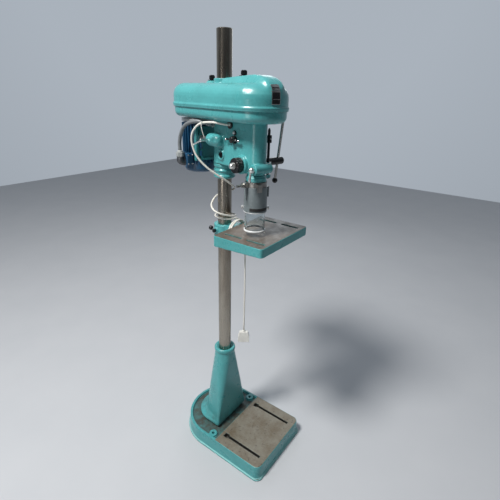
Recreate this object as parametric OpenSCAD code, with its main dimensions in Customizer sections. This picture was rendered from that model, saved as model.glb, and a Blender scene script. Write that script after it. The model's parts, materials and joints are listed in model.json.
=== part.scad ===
// Floor-standing pillar drill: column, swinging head and table, belt drive, feed and chuck guard.
// Origin on the column axis at floor level, +Z up, -Y the operator's side.

/* [Column and swing] */
// Diameter of the steel column
column_d = 54; // [53:0.5:55]
// Height of the column's top above the floor
column_top = 1725; // [1720:5:1800]
// Swing of the whole head about the column, in degrees
head_swing = -14.5; // [-20:0.5:0]

/* [Base] */
// Half width of the base's work surface, and radius of its round back
base_half_w = 170; // [168:1:172]
// Distance from the column axis to the work surface's front edge
base_front = 323; // [320:1:330]
// Height of the work surface above the floor
base_h = 70; // [68:1:72]
// Height of the pedestal's top above the floor
pedestal_top = 458; // [450:1:465]

/* [Table] */
// Half width of the table
table_half_w = 155; // [152:1:158]
// Height of the table's top above the floor
table_z = 1057; // [1055:1:1058]
// Distance from the column axis to the table's front edge
table_front = 288; // [284:1:292]
// Distance from the column axis to the table's back edge
table_back = 73; // [73:1:76]

/* [Head] */
// Distance from the column axis to the spindle axis
throat = 185; // [184:1:186]
// Height of the head casting's top
head_top = 1441; // [1441:1:1443]
// Radius of the head's front cylinder
nose_r = 33; // [32.5:0.5:34]
// Radius of the head's back hub
hub_r = 39; // [38.5:0.5:40]
// Travel of the quill
stroke = 64; // [50:1:64]

/* [Drive] */
// Distance from the column axis back to the motor shaft
motor_y = 168; // [167:1:169]
// Radius of the motor's finned frame
motor_r = 70; // [68:1:71]
// Radius of both round ends of the belt guard
guard_r = 96; // [95:1:97]

/* [Chuck guard] */
// Outer radius of the grey guard shell
shell_r = 41; // [40.5:0.5:42]
// Outer radius of the clear sliding tube
tube_r = 36; // [35:0.5:36.5]

/* [Hidden] */
$fn = 64;

teal = [0.22, 0.62, 0.64];
dark_teal = [0.16, 0.47, 0.5];
steel = [0.55, 0.54, 0.5];
chrome = [0.85, 0.85, 0.86];
black = [0.06, 0.06, 0.07];
blue = [0.05, 0.2, 0.42];
grey = [0.6, 0.62, 0.64];
guard_grey = [0.45, 0.5, 0.52];
white = [0.92, 0.91, 0.86];

fit = 0.05;                       // radial clearance of a running fit
column_r = column_d / 2;
column_bottom = 330;
pedestal_floor = base_h - 10;     // level of the sunk floor that the pedestal stands on
slot_x = 116;                     // base T-slots, either side of the centre
fix_x = 141;                      // floor fixing holes
fix_y = -48;
table_hub_r = 42;
table_hub_z = [979, table_z - 8];
table_slot_x = 113;
collar_z = [1232, 1287];
feed_z = 1304;                    // height of the feed shaft
rack_module = 1.25;
pinion_teeth = 16;
pinion_r = rack_module * pinion_teeth / 2;
rack_w = 9;                       // width of the quill's rack and of the pinion
rack_line = 23.25;                // rack pitch line, behind the spindle axis
feed_y = -throat + rack_line + pinion_r;
lever_x = 128;                    // plane of the feed lever
quill_r = 25;
quill_z = [1232, 1392];
rod_x = 52;                       // depth rod, beside the quill
lock_y = -214;                    // quill lock screw
lock_z = 1296;
stop_top = 1311;                  // top of the head's depth-stop lug
nut_z = stop_top + stroke + 0.5;
bar_x = 50;                       // motor slide bars
bar_z = 1371;
bar_y = 8;                        // middle of the bosses that hold the bars
tray_z = head_top;
lip_z = 1477;                     // seam between tray and lid
lid_top = 1558;
saddle_top = 1573;                // collar of the lid round the column
rear_boss_top = 1567;             // lid's boss under the rear knob
knob_bore = 12;                   // depth of the lid knobs' threaded bore
stud_y = [77, -109];              // studs that hold the lid
front_knob_z = 1579.2;
rear_knob_z = rear_boss_top + 0.3;
// Hood along the lid: distance to the front, its top, half width there, foot's half width, foot
hood = [
    [-30, 1573, 29, 42, 1552], [-109, 1578, 29, 46, 1552], [-190, 1582, 29, 46, 1552],
    [-228, 1579.5, 29, 46, 1552], [-252, 1571, 29, 43, 1545], [-268, 1557, 28, 38, 1535],
    [-279, 1537, 13, 16, 1528]
];
pulley_z = 1458;
step_h = 20;
spindle_steps = [62, 52, 42, 32];
motor_steps = [32, 42, 52, 62];
belt_step = 1;                    // the step that the belt runs on
belt_depth = 8;
belt_z = pulley_z + belt_step * step_h + 4;
motor_z = [1262, 1424];
plate_y = 88;                     // face of the motor plate
shell_z = [1146, 1234];
tube_z = [1073, 1146 + 20];
chuck_tilt = 12;                  // slope of the chuck's jaws
chuck_z = [1152, 1228];
jaw_r = 3;

module head() { rotate([0, 0, head_swing]) children(); }
module at_spindle() { head() translate([0, -throat, 0]) children(); }
module along_x() { rotate([0, 90, 0]) children(); }
module along_y() { rotate([-90, 0, 0]) children(); }
module pipe(r, bore, z) {
    difference() {
        translate([0, 0, z[0]]) cylinder(r = r, h = z[1] - z[0]);
        translate([0, 0, z[0] - 1]) cylinder(r = bore, h = z[1] - z[0] + 2);
    }
}

// Plan of two circles on the Y axis joined by their outer tangents
module belt_plan(r_front, y_front, r_back, y_back) {
    slope = asin((r_front - r_back) / (y_back - y_front));
    c = cos(slope);
    s = sin(slope);
    translate([0, y_front]) circle(r_front);
    translate([0, y_back]) circle(r_back);
    polygon([
        [r_front * c, y_front + r_front * s], [r_back * c, y_back + r_back * s],
        [-r_back * c, y_back + r_back * s], [-r_front * c, y_front + r_front * s]
    ]);
}

// Solid with the given side profile round both ends of the belt guard
module guard_form() {
    translate([0, -throat, 0]) rotate([0, 0, 180]) rotate_extrude(angle = 180) children();
    translate([0, motor_y, 0]) rotate_extrude(angle = 180) children();
    translate([0, motor_y, 0]) rotate([90, 0, 0]) linear_extrude(throat + motor_y) {
        children();
        mirror([1, 0]) children();
    }
}

// Outline of the base: half round behind, straight sides, rounded front corners
module base_plan(half_w, front, corner) {
    circle(half_w);
    translate([-half_w, corner - front]) square([2 * half_w, front - corner]);
    translate([corner - half_w, -front]) square([2 * (half_w - corner), corner + 1]);
    for (side = [-1, 1]) translate([side * (half_w - corner), corner - front]) circle(corner);
}

module base_cavity() {
    difference() {
        translate([0, 0, -1]) linear_extrude(base_h - 19) base_plan(base_half_w - 14, base_front - 14, 14);
        translate([0, 0, -2]) cylinder(r = 45, h = base_h);
        for (side = [-1, 1]) {
            translate([side * fix_x, fix_y, -2]) cylinder(r = 18, h = base_h);
            translate([side * slot_x - 17, -base_front, base_h - 34]) cube([34, base_front, 34]);
        }
        for (y = [-235, -90]) translate([-base_half_w, y, 6]) cube([2 * base_half_w, 8, base_h]);
        translate([-4, -base_front, 6]) cube([8, 2 * base_front, base_h]);
    }
}

module base_plate() {
    color(teal) difference() {
        union() {
            linear_extrude(9) base_plan(base_half_w + 9, base_front + 9, 30);
            hull() {
                translate([0, 0, 8]) linear_extrude(1) base_plan(base_half_w + 3.5, base_front + 3.5, 28);
                translate([0, 0, base_h - 1]) linear_extrude(1) base_plan(base_half_w, base_front, 26);
            }
        }
        base_cavity();
        // sunk floor behind the work surface, inside a raised rim
        translate([0, 0, pedestal_floor]) linear_extrude(20) difference() {
            intersection() {
                base_plan(base_half_w - 12, base_front, 26);
                translate([-base_half_w, -79]) square([2 * base_half_w, 300]);
            }
            for (side = [-1, 1]) translate([side * fix_x, fix_y]) circle(18.5);
        }
        for (side = [-1, 1]) {
            translate([side * fix_x, fix_y, -1]) cylinder(r = 6.5, h = base_h + 2);
            translate([side * slot_x - 5, -292, base_h - 20]) cube([10, 189, 21]);
            translate([side * slot_x - 9, -292, base_h - 20]) cube([18, 189, 10]);
            translate([side * slot_x - 10, -118, base_h - 20]) cube([20, 20, 21]);
        }
        pedestal_screw_places() translate([0, 0, -10]) cylinder(r = 5.5, h = 40);
    }
}

// Places of the four screws that hold the pedestal, at the sunk floor's level
module pedestal_screw_places() {
    for (p = [[-60, -27], [60, -27], [-78, 62], [78, 62]]) translate([p[0], p[1], pedestal_floor]) children();
}

// Slice of the pedestal: flat front with two corners, and a round back
module pedestal_slice(z, half_w, front, back_r, back_y, h = 1) {
    translate([0, 0, z]) linear_extrude(h) {
        for (side = [-1, 1]) translate([side * (half_w - 8), 8 - front]) circle(r = 8, $fn = 32);
        intersection() {
            translate([0, back_y]) circle(back_r);
            translate([-half_w, 8 - front]) square(2 * half_w + 100);
        }
    }
}

module pedestal() {
    waist = 108;
    foot_z = pedestal_floor + 13;
    neck = pedestal_top - 20;
    color(teal) difference() {
        union() {
            hull() pedestal_slice(pedestal_floor, 97, 39, 97, 20, foot_z - pedestal_floor + 1);
            hull() {
                pedestal_slice(foot_z, 105, 46, 105, 20, 6);
                pedestal_slice(foot_z + 15, 103, 46, 93, 10);
            }
            hull() {
                pedestal_slice(foot_z + 15, 103, 46, 93, 10);
                pedestal_slice(waist, 98.5, 45, 85, 2);
            }
            hull() {
                pedestal_slice(waist, 98.5, 45, 85, 2);
                translate([0, 0, neck]) cylinder(r = 43, h = 1);
            }
            translate([0, 0, neck]) cylinder(r = 43, h = 6);
            rotate_extrude() translate([0, neck + 2]) {
                square([47.5, 12]);
                square([43, 18]);
                translate([41.5, 12]) circle(6);
            }
        }
        // hollow inside, and the sockets that grip the column
        hull() pedestal_slice(pedestal_floor - 1, 84, 16, 82, 18, 24);
        hull() {
            pedestal_slice(pedestal_floor + 22, 82, 16, 78, 12);
            pedestal_slice(waist, 80, 24, 72, 2);
        }
        hull() {
            pedestal_slice(waist, 80, 24, 72, 2);
            translate([0, 0, column_bottom - 16]) cylinder(r = 35, h = 1);
        }
        translate([0, 0, column_bottom - 17]) cylinder(r = 24, h = 20);
        translate([0, 0, column_bottom]) cylinder(r = column_r + 0.02, h = 300);
        translate([0, 0, column_bottom + 34]) cylinder(r = 33, h = 40);
        translate([0, 0, neck + 14]) cylinder(r1 = 32, r2 = 38, h = 7);
        for (a = [45, 135]) rotate([0, 0, a]) translate([0, 0, 425]) along_x() cylinder(r = 5, h = 60);
        pedestal_screw_places() translate([0, 0, -1]) cylinder(r = 5, h = 21);
    }
}

module column() {
    color(steel) difference() {
        translate([0, 0, column_bottom]) rotate_extrude() polygon([
            [0, 0], [column_r, 0], [column_r, column_top - column_bottom - 2],
            [column_r - 2, column_top - column_bottom], [0, column_top - column_bottom]
        ]);
        translate([0, 0, column_bottom - 1]) cylinder(r = column_r - 8, h = column_top - column_bottom - 20);
    }
}

module pedestal_fixings() {
    color(steel) {
        pedestal_screw_places() {
            translate([0, 0, -10]) cylinder(r = 5, h = 29);
            translate([0, 0, -17.5]) cylinder(r = 8.5, h = 7.5);
        }
        for (a = [45, 135]) rotate([0, 0, a]) translate([column_r + 0.02, 0, 425]) along_x() cylinder(r = 5, h = 12);
    }
}

module table_collar() {
    color(teal) difference() {
        union() {
            pipe(41, column_r + fit, [table_hub_z[0] - 24.3, table_hub_z[0] - 0.3]);
            translate([0, 0, table_hub_z[0] - 16]) rotate([0, 0, 90]) along_x() translate([0, 0, 30])
                cylinder(r = 8, h = 17);
        }
        translate([0, 0, table_hub_z[0] - 30]) cylinder(r = column_r + fit, h = 40);
    }
}

module table_lock_place() { translate([-table_hub_r, 9, table_z - 30]) rotate([0, -90, 0]) children(); }

module table() {
    deep = table_z - 42;
    shallow = table_z - 33;
    color(teal) difference() {
        union() {
            intersection() {
                translate([-table_half_w, 0, 0]) rotate([90, 0, 90]) linear_extrude(2 * table_half_w) polygon([
                    [-table_front, table_z], [-table_back, table_z], [-table_back, deep], [-table_front, shallow]
                ]);
                linear_extrude(2 * table_z) table_plan(0);
            }
            translate([0, 0, table_hub_z[0]]) cylinder(r = table_hub_r, h = table_hub_z[1] - table_hub_z[0]);
            translate([-30, 0, 0]) rotate([90, 0, 90]) linear_extrude(60) polygon([
                [-170, table_z - 5], [-20, table_z - 5], [-20, 983], [-70, 983], [-170, shallow]
            ]);
            table_lock_place() translate([0, 0, -12]) cylinder(r = 11, h = 17);
        }
        // underside, hollow between the ribs
        difference() {
            translate([0, 0, deep - 10]) linear_extrude(31) table_plan(9);
            for (x = [-90, 90]) translate([x - 4, -table_front, deep - 12]) cube([8, 210, 60]);
            translate([-33, -table_front, deep - 12]) cube([66, 210, 60]);
            for (side = [-1, 1], y = [-134, -232])
                translate([side * table_slot_x - 12, y - 45, table_z - 22]) cube([24, 90, 20]);
        }
        translate([0, 0, 900]) cylinder(r = column_r + fit, h = 200);
        translate([0, 0, table_hub_z[0] + 22]) cylinder(r = 33, h = 36);
        for (side = [-1, 1], y = [-134, -232]) translate([side * table_slot_x, y, table_z - 30]) slot(4.75, 75, 40);
        translate([-24, -260, 960]) cube([48, 165, table_z - 12 - 960]);
        // saw cuts that let the hub close on the column
        translate([-60, -22, table_z - 18]) cube([60, 90, 3]);
        translate([-1.5, 20, 900]) cube([3, 60, table_z - 15 - 900]);
        table_lock_place() translate([0, 0, -30]) cylinder(r = 5 + fit, h = 60);
    }
}

module table_plan(inset) {
    corner = 12 - inset / 2;
    w = table_half_w - inset;
    d = table_front - table_back - 2 * inset;
    translate([0, -table_front + inset]) {
        translate([-w, corner]) square([2 * w, d - 2 * corner]);
        translate([corner - w, 0]) square([2 * (w - corner), d]);
        for (x = [corner - w, w - corner], y = [corner, d - corner]) translate([x, y]) circle(corner);
    }
}

// Round-ended slot along Y
module slot(r, length, h) {
    for (y = [r - length / 2, length / 2 - r]) translate([0, y, 0]) cylinder(r = r, h = h);
    translate([-r, r - length / 2, 0]) cube([2 * r, length - 2 * r, h]);
}

// Rod with a ball on its end, from the origin to the given point
module ball_rod(end, rod_r, ball_r) {
    length = norm(end);
    rotate([0, acos(end[2] / length), atan2(end[1], end[0])]) {
        cylinder(r = rod_r, h = length);
        translate([0, 0, length]) sphere(ball_r);
    }
}

module table_clamp_lever() {
    color(black) table_lock_place() {
        translate([0, 0, -14.5]) cylinder(r = 5, h = 27);
        translate([0, 0, 5.5]) cylinder(r = 6.5, h = 10);
        translate([0, 0, 10.5]) ball_rod([9, 17, 0], 3.5, 9);
    }
}

module head_collar() {
    low = collar_z[0];
    h = collar_z[1] - low;
    color(teal) head() difference() {
        translate([0, 0, low]) rotate_extrude() polygon([
            [0, 0], [37, 0], [41, 4], [41, 11], [38, 13], [38, 24], [41, 26], [41, 32],
            [38, 34], [38, 41], [41, 43], [41, h - 4], [39, h - 0.3], [0, h - 0.3]
        ]);
        translate([0, 0, low - 1]) cylinder(r = column_r + fit, h = h + 2);
        translate([0, 0, low + 18]) rotate([0, 0, 90]) along_x() cylinder(r = 4, h = 60);
    }
}

module head_casting() {
    color(teal) head() difference() {
        union() {
            translate([0, 0, collar_z[1]]) {
                linear_extrude(head_top - collar_z[1]) belt_plan(nose_r, -throat, hub_r - 0.5, 0);
                cylinder(r = hub_r, h = head_top - collar_z[1]);
            }
            translate([0, 0, collar_z[1]]) cylinder(r = hub_r + 2.5, h = 6);
            translate([0, -throat, 1274]) cylinder(r = nose_r - 0.5, h = 30);
            // feed shaft bosses, spring side and lever side
            translate([-46, feed_y, feed_z]) along_x() cylinder(r = 31, h = 40);
            translate([0, feed_y, feed_z]) along_x() cylinder(r = 22, h = 42);
            translate([-37, lock_y, lock_z]) along_x() cylinder(r = 17, h = 73);
            // depth-stop lug
            translate([20, -throat - 12, stop_top - 14]) cube([rod_x - 20, 24, 14]);
            translate([rod_x, -throat, stop_top - 14]) cylinder(r = 12, h = 14);
            // slide bar bosses, and the ring round the head lock recess
            for (side = [-1, 1]) translate([side * (bar_x - 2), 0, bar_z]) along_y() rotate_extrude() polygon([
                [0, -48], [9, -46.5], [15, -42.5], [20, -35], [22.5, -25], [23, -14], [23, 10], [22, 19],
                [19, 26], [15, 30], [0, 30]
            ]);
            translate([-40, -20, bar_z - 14]) cube([80, 44, 28]);
            translate([-43, -33, 1322]) along_x() cylinder(r = 19, h = 30);
        }
        translate([0, 0, 1200]) cylinder(r = column_r + fit, h = 300);
        translate([0, 0, 1310]) cylinder(r = 31, h = 90);
        translate([0, -throat, 1200]) cylinder(r = quill_r + fit, h = 1406 - 1200);
        translate([0, -throat, 1200]) cylinder(r = 20, h = 300);
        translate([0, -throat, 1408]) cylinder(r = 21.02, h = 40);
        // wiring chamber in the web, open to the cable hole
        translate([-24, -130, 1330]) cube([48, 85, 100]);
        translate([-60, -85, 1428]) along_x() cylinder(r = 10, h = 50);
        translate([-60, -110, 1404.5]) along_x() cylinder(r = 6, h = 50);
        translate([-60, -110, 1381.5]) along_x() cylinder(r = 9, h = 50);
        // feed shaft and its pinion, quill lock screw, bars, head lock bolt, depth rod, conduit
        translate([-60, feed_y, feed_z]) along_x() cylinder(r = 12, h = 68);
        translate([-60, feed_y, feed_z]) along_x() cylinder(r = 9 + fit, h = 120);
        translate([-60, lock_y, lock_z]) along_x() cylinder(r = 5 + fit, h = 60);
        for (side = [-1, 1]) translate([side * bar_x, -14, bar_z]) along_y() cylinder(r = 9 + fit, h = 60);
        translate([-90, bar_y, bar_z]) along_x() cylinder(r = 4 + fit, h = 38);
        translate([-60, -33, 1322]) along_x() cylinder(r = 5.2, h = 120);
        translate([-60, -33, 1322]) along_x() cylinder(r = 13, h = 26);
        translate([30, -33, 1322]) along_x() cylinder(r = 9, h = 20);
        translate([rod_x, -throat, 1200]) cylinder(r = 5.6, h = 200);
        translate([-60, 12, 1422]) along_x() cylinder(r = 6, h = 40);
    }
}

module head_clamp_bolt() {
    color(black) head() translate([0, -33, 1322]) {
        translate([-34, 0, 0]) along_x() cylinder(r = 5, h = 71);
        difference() {
            translate([-43, 0, 0]) along_x() cylinder(r = 8.5, h = 9);
            translate([-44, 0, 0]) along_x() cylinder(r = 4.5, h = 6, $fn = 6);
        }
        translate([30, 0, 0]) along_x() cylinder(r = 8.5, h = 7, $fn = 6);
    }
}

// Points on an arc about c, from angle a to angle b
function arc(c, r, a, b, n) = [for (k = [0 : n]) c + r * [cos(a + (b - a) * k / n), sin(a + (b - a) * k / n)]];

// Sheet profile of the tray, and of the lid above it
module tray_profile() {
    corner = [guard_r - 23, tray_z + 20];
    wall = 4;
    polygon(concat(
        [[0, tray_z + wall], [0, tray_z]],
        arc(corner, 20, -90, 0, 5),
        [[guard_r - 3, lip_z + 5], [guard_r - 3 - wall, lip_z + 5]],
        arc(corner, 20 - wall, 0, -90, 5)
    ));
}
module lid_profile() {
    edge = 42;
    corner = [guard_r - edge, lid_top - edge];
    wall = 4;
    lip = lip_z + 14;
    polygon(concat(
        [[0, lid_top], [0, lid_top - wall]],
        arc(corner, edge - wall, 90, 0, 7),
        [[guard_r - wall, lip], [guard_r - 2.6, lip], [guard_r - 2.6, lip_z]],
        [[guard_r + 2, lip_z], [guard_r + 2, lip - 7], [guard_r + 3.5, lip - 6]],
        [[guard_r + 3.5, lip - 2], [guard_r, lip + 1.5]],
        arc(corner, edge, 0, 90, 7)
    ));
}

module stud(y, knob_z) {
    translate([0, y, tray_z + 2]) cylinder(r = 4, h = knob_z + knob_bore - 0.5 - tray_z - 2);
}

module belt_guard_tray() {
    color(teal) head() {
        difference() {
            guard_form() tray_profile();
            translate([0, 0, 1400]) cylinder(r = column_r + 3, h = 100);
            translate([0, -throat, 1400]) cylinder(r = 21, h = 100);
            translate([0, motor_y - 8, 1400]) slot(16, 60, 100);
            for (y = stud_y) translate([0, y, 1400]) cylinder(r = 4, h = 100);
        }
        // studs that the lid's knobs screw on to
        stud(stud_y[0], rear_knob_z);
        stud(stud_y[1], front_knob_z);
    }
}

// Slice across the hood, narrower at the top
module hood_slice(p) {
    translate([0, p[0], 0]) rotate([90, 0, 0]) linear_extrude(0.5) polygon([
        [-p[3], p[4]], [p[3], p[4]], [p[2], p[1]], [-p[2], p[1]]
    ]);
}

module belt_guard_lid() {
    color(teal) head() difference() {
        union() {
            guard_form() lid_profile();
            // hood that rises to the front, collar round the column, boss for the rear knob
            for (k = [0 : len(hood) - 2]) hull() {
                hood_slice(hood[k]);
                hood_slice(hood[k + 1]);
            }
            translate([0, 0, lid_top - 2]) cylinder(r = 37, h = saddle_top - lid_top + 2);
            translate([0, stud_y[0], lid_top - 2]) cylinder(r1 = 26, r2 = 15, h = rear_boss_top - lid_top + 2);
        }
        rotate([90, 0, 90]) translate([0, 0, -24]) linear_extrude(48) polygon(concat(
            [[-40, lid_top - 5]], [for (p = hood) [min(p[0] + 7, -40), p[1] - 4.5]], [[-266, lid_top - 30]]
        ));
        translate([0, 0, 1400]) cylinder(r = column_r + 3, h = 300);
        for (y = stud_y) translate([0, y, 1400]) cylinder(r = 5, h = 300);
    }
}

// Curved plate on the lid's front
module badge_plate() {
    color(chrome) at_spindle() intersection() {
        pipe(guard_r + 2.2, guard_r + 0.2, [1499, 1533]);
        rotate([0, 0, -97.5]) translate([0, -18.5, 1480]) cube([120, 37, 80]);
    }
}

// Fluted knob on a wide washer, at its seat on the lid
module lid_knob(y, z) {
    color(black) head() translate([0, y, z]) difference() {
        union() {
            cylinder(r = 15.5, h = 2);
            cylinder(r = 8.5, h = 5);
            translate([0, 0, 4]) for (k = [0 : 11]) rotate([0, 0, 30 * k]) translate([8.6, 0, 0])
                cylinder(r1 = 2, r2 = 1.6, h = 12, $fn = 16);
            translate([0, 0, 4]) cylinder(r1 = 9, r2 = 7.5, h = 14);
        }
        translate([0, 0, -1]) cylinder(r = 4 + fit, h = knob_bore + 1);
    }
}
module lid_knob_front() { lid_knob(stud_y[1], front_knob_z); }
module lid_knob_rear() { lid_knob(stud_y[0], rear_knob_z); }

module switch_body() {
    color(black) head() translate([0, -110, 1381.5]) {
        translate([-42, 0, 0]) along_x() cylinder(r = 13, h = 5.8);
        translate([-37, 0, 0]) along_x() cylinder(r = 8.9, h = 14);
        translate([-23.7, -19.5, -20]) cube([30, 39, 34]);
    }
}

module switch_knob() {
    color(black) head() translate([0, -110, 1381.5]) {
        translate([-54, 0, 0]) along_x() cylinder(r = 11, h = 11.7);
        for (way = [-90, 90]) translate([-47, 0, 0]) rotate([way, 0, 0]) ball_rod([0, 0, 37], 3, 4.5);
    }
}

module pilot_lamp() {
    color(chrome) head() translate([0, -110, 1404.5]) {
        translate([-40, 0, 0]) along_x() cylinder(r = 8, h = 4);
        translate([-39, 0, 0]) sphere(5.5);
        translate([-37, 0, 0]) along_x() cylinder(r = 5.9, h = 22);
    }
}

module cable_grommet() {
    color(black) head() translate([-36.7, -85, 1428]) along_x() difference() {
        union() {
            translate([0, 0, -4]) cylinder(r = 12.6, h = 4);
            cylinder(r = 9.9, h = 10);
        }
        translate([0, 0, -10]) cylinder(r = cord_r + 1.5, h = 30);
    }
}

// Tube swept along a list of points, a ring of flat sides at each
function turn(p, k) = let (a = p[max(k - 1, 0)], b = p[min(k + 1, len(p) - 1)]) (b - a) / norm(b - a);
function side_of(t) = let (c = cross(t, abs(t[2]) < 0.9 ? [0, 0, 1] : [1, 0, 0])) c / norm(c);
function curve(p, k, u) = let (
    n = len(p) - 1,
    a = p[max(k - 1, 0)], b = p[k], c = p[min(k + 1, n)], d = p[min(k + 2, n)]
) 0.5 * (2 * b + (c - a) * u + (2 * a - 5 * b + 4 * c - d) * u * u + (3 * b - a - 3 * c + d) * u * u * u);
function smooth(p, steps) = concat(
    [for (k = [0 : len(p) - 2], s = [0 : steps - 1]) curve(p, k, s / steps)], [p[len(p) - 1]]
);
module swept(p, r, sides) {
    n = len(p);
    points = [for (k = [0 : n - 1]) let (t = turn(p, k), u = side_of(t), v = cross(t, u))
        for (j = [0 : sides - 1]) p[k] + r * (cos(360 * j / sides) * u + sin(360 * j / sides) * v)];
    faces = concat(
        [[for (j = [sides - 1 : -1 : 0]) j]],
        [[for (j = [0 : sides - 1]) (n - 1) * sides + j]],
        [for (k = [0 : n - 2], j = [0 : sides - 1]) let (m = (j + 1) % sides)
            [k * sides + j, k * sides + m, (k + 1) * sides + m, (k + 1) * sides + j]]
    );
    polyhedron(points, faces);
}

conduit_r = 7;
conduit_route = [
    [-103, 150, 1320.6], [-103, 150, 1350], [-102, 140, 1380], [-100, 118, 1408], [-96, 88, 1424],
    [-84, 55, 1431], [-66, 28, 1428], [-55, 14, 1423], [-46.6, 12, 1422]
];
module conduit() { color(grey) head() swept(smooth(conduit_route, 4), conduit_r, 12); }

module conduit_gland() {
    color(grey) head() translate([-46, 12, 1422]) along_x() {
        cylinder(r = 10, h = 6.5, $fn = 6);
        cylinder(r = 5.8, h = 17.5);
    }
}

// Mains lead: out of the head, round the column, twice round the table's arm, and down to its plug
cord_r = 3.5;
cord_bends = [
    [-50, -76, 1428], [-76, -65, 1430], [-98, -28, 1435], [-113, 14, 1429], [-119, 44, 1400],
    [-118, 50, 1362], [-109, 36, 1316], [-84, 6, 1274], [-45, -28, 1238], [-4, -40, 1208],
    [32, -22, 1185], [32, 20, 1167], [0, 42, 1152], [-40, 33, 1128], [-57, 5, 1112],
    [-46, -24, 1100], [-12, -40, 1089], [28, -34, 1080], [43, 4, 1078], [16, 36, 1080],
    [-23, 29, 1082], [-38, -1, 1080], [-24, -36, 1077], [16, -47, 1074], [48, -52, 1042],
    [46, -57, 990], [12, -58, 956], [-32, -59, 964], [-52, -59, 1012], [-34, -58, 1058],
    [6, -58, 1070], [37, -60, 1050], [56, -63, 1006], [28, -68, 962], [-14, -69, 955],
    [-47, -67, 984], [-45, -66, 1042], [-12, -65, 1069], [24, -66, 1068], [46, -68, 1034]
];
cord_drop = [[47, -69, 980], [46, -72, 760], [46, -72, 545]];
module mains_cord() { color(white) swept(concat(smooth(cord_bends, 2), cord_drop), cord_r, 8); }

// Three-pin plug hanging on its lead, pins out of its broad back
module plug() {
    color(white) translate([46, -72, 486]) rotate([0, 0, -54]) {
        hull() {
            translate([-25, -10, 0]) cube([50, 19, 30]);
            translate([-18, -9, 48]) cube([36, 17, 4]);
        }
        translate([0, 0, 50]) cylinder(r = 7, h = 8.5);
        for (p = [[0, 9, 8], [-11, 31, 6], [11, 31, 6]])
            translate([p[0] - p[2] / 2, 8, p[1] - 2]) cube([p[2], 19, p[2] == 6 ? 4 : 5]);
    }
}

module sleeve_bearings() {
    color(chrome) at_spindle() {
        pipe(21, 14 + fit, [1409, 1421]);
        pipe(21, 14 + fit, [1428, 1440]);
    }
}

module drive_sleeve() {
    color(steel) at_spindle() difference() {
        union() {
            translate([0, 0, 1408]) cylinder(r = 14, h = 100);
            translate([0, 0, 1441.2]) cylinder(r = 18, h = 10);
        }
        translate([0, 0, 1400]) cylinder(r = 9 + fit, h = 200);
        for (a = [0, 180]) rotate([0, 0, a]) translate([0, -2.6, 1400]) cube([11.2, 5.2, 200]);
    }
}

// Stepped pulley, its grooves cut as deep as the belt sits
module step_pulley(steps, bore) {
    difference() {
        for (k = [0 : 3]) translate([0, 0, pulley_z + k * step_h]) cylinder(r = steps[k], h = step_h);
        for (k = [0 : 3]) pipe(steps[k] + 5, steps[k] - belt_depth - 0.3, [
            pulley_z + k * step_h + 3.5, pulley_z + k * step_h + 16.5
        ]);
        translate([0, 0, pulley_z - 1]) cylinder(r = bore, h = 100);
    }
}

module spindle_pulley() { color(grey) at_spindle() step_pulley(spindle_steps, 14); }

module v_belt() {
    front = spindle_steps[belt_step];
    back = motor_steps[belt_step];
    color(black) head() translate([0, 0, belt_z]) linear_extrude(12) difference() {
        belt_plan(front + 1, -throat, back + 1, motor_y);
        belt_plan(front - belt_depth, -throat, back - belt_depth, motor_y);
    }
}

module spring_housing() {
    color(black) head() translate([-70, feed_y, feed_z]) along_x() difference() {
        union() {
            cylinder(r = 24.5, h = 24);
            for (k = [0 : 35]) rotate([0, 0, 10 * k]) translate([24, 0, 3]) cylinder(r = 1.6, h = 18, $fn = 8);
        }
        translate([0, 0, 4]) cylinder(r = 21, h = 30);
        translate([0, 0, -1]) cylinder(r = 9 + fit, h = 30);
    }
}

// Flat clock spring wound inside the housing
module return_spring() {
    turns = 4;
    function coil(a, off) = let (r = 13 + 6.4 * a / (360 * turns) + off) [r * cos(a), r * sin(a)];
    angles = [for (a = [0 : 15 : 360 * turns]) a];
    back = [for (k = [len(angles) - 1 : -1 : 0]) angles[k]];
    color(steel) head() translate([-64, feed_y, feed_z]) along_x() linear_extrude(14)
        polygon(concat([for (a = angles) coil(a, 0)], [for (a = back) coil(a, 0.7)]));
}

// Involute pinion outline, thinned a little for backlash
module pinion_outline() {
    base_r = pinion_r * cos(20);
    tip_r = pinion_r + rack_module;
    root_r = pinion_r - 1.2 * rack_module;
    function spread(r) = let (t = sqrt(pow(r / base_r, 2) - 1)) t * 180 / PI - atan(t);
    half = 90 / pinion_teeth - 1.2 + spread(pinion_r);
    radii = [base_r + 0.01, base_r + 0.6, pinion_r, tip_r - 0.5, tip_r];
    circle(root_r, $fn = 64);
    for (k = [0 : pinion_teeth - 1]) rotate(360 / pinion_teeth * k) polygon(concat(
        [[root_r - 1, -1.4]],
        [for (r = radii) r * [cos(spread(r) - half), sin(spread(r) - half)]],
        [for (k = [4 : -1 : 0]) radii[k] * [cos(half - spread(radii[k])), sin(half - spread(radii[k]))]],
        [[root_r - 1, 1.4]]
    ));
}

module feed_shaft() {
    color(steel) head() translate([0, feed_y, feed_z]) {
        translate([-45.5, 0, 0]) along_x() cylinder(r = 11.92, h = 31.5);
        translate([-rack_w / 2, 0, 0]) along_x() linear_extrude(rack_w)
            rotate(180 / pinion_teeth) pinion_outline();
        translate([-74, 0, 0]) along_x() cylinder(r = 9, h = 50);
        translate([-20, 0, 0]) along_x() cylinder(r = 8.3, h = 40);
        translate([8.2, 0, 0]) along_x() cylinder(r = 9, h = 107.8);
    }
}

module feed_hub() {
    color(black) head() difference() {
        translate([42.5, feed_y, feed_z]) along_x() rotate_extrude() polygon([
            [0, 0], [13.5, 0], [13.5, 104], [11, 108], [0, 108.5]
        ]);
        translate([42, feed_y, feed_z]) along_x() cylinder(r = 9, h = 74);
        translate([lever_x, feed_y, feed_z]) rotate([lever_lean, 0, 0]) cylinder(r = 4.9, h = 60, center = true);
    }
}

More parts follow.
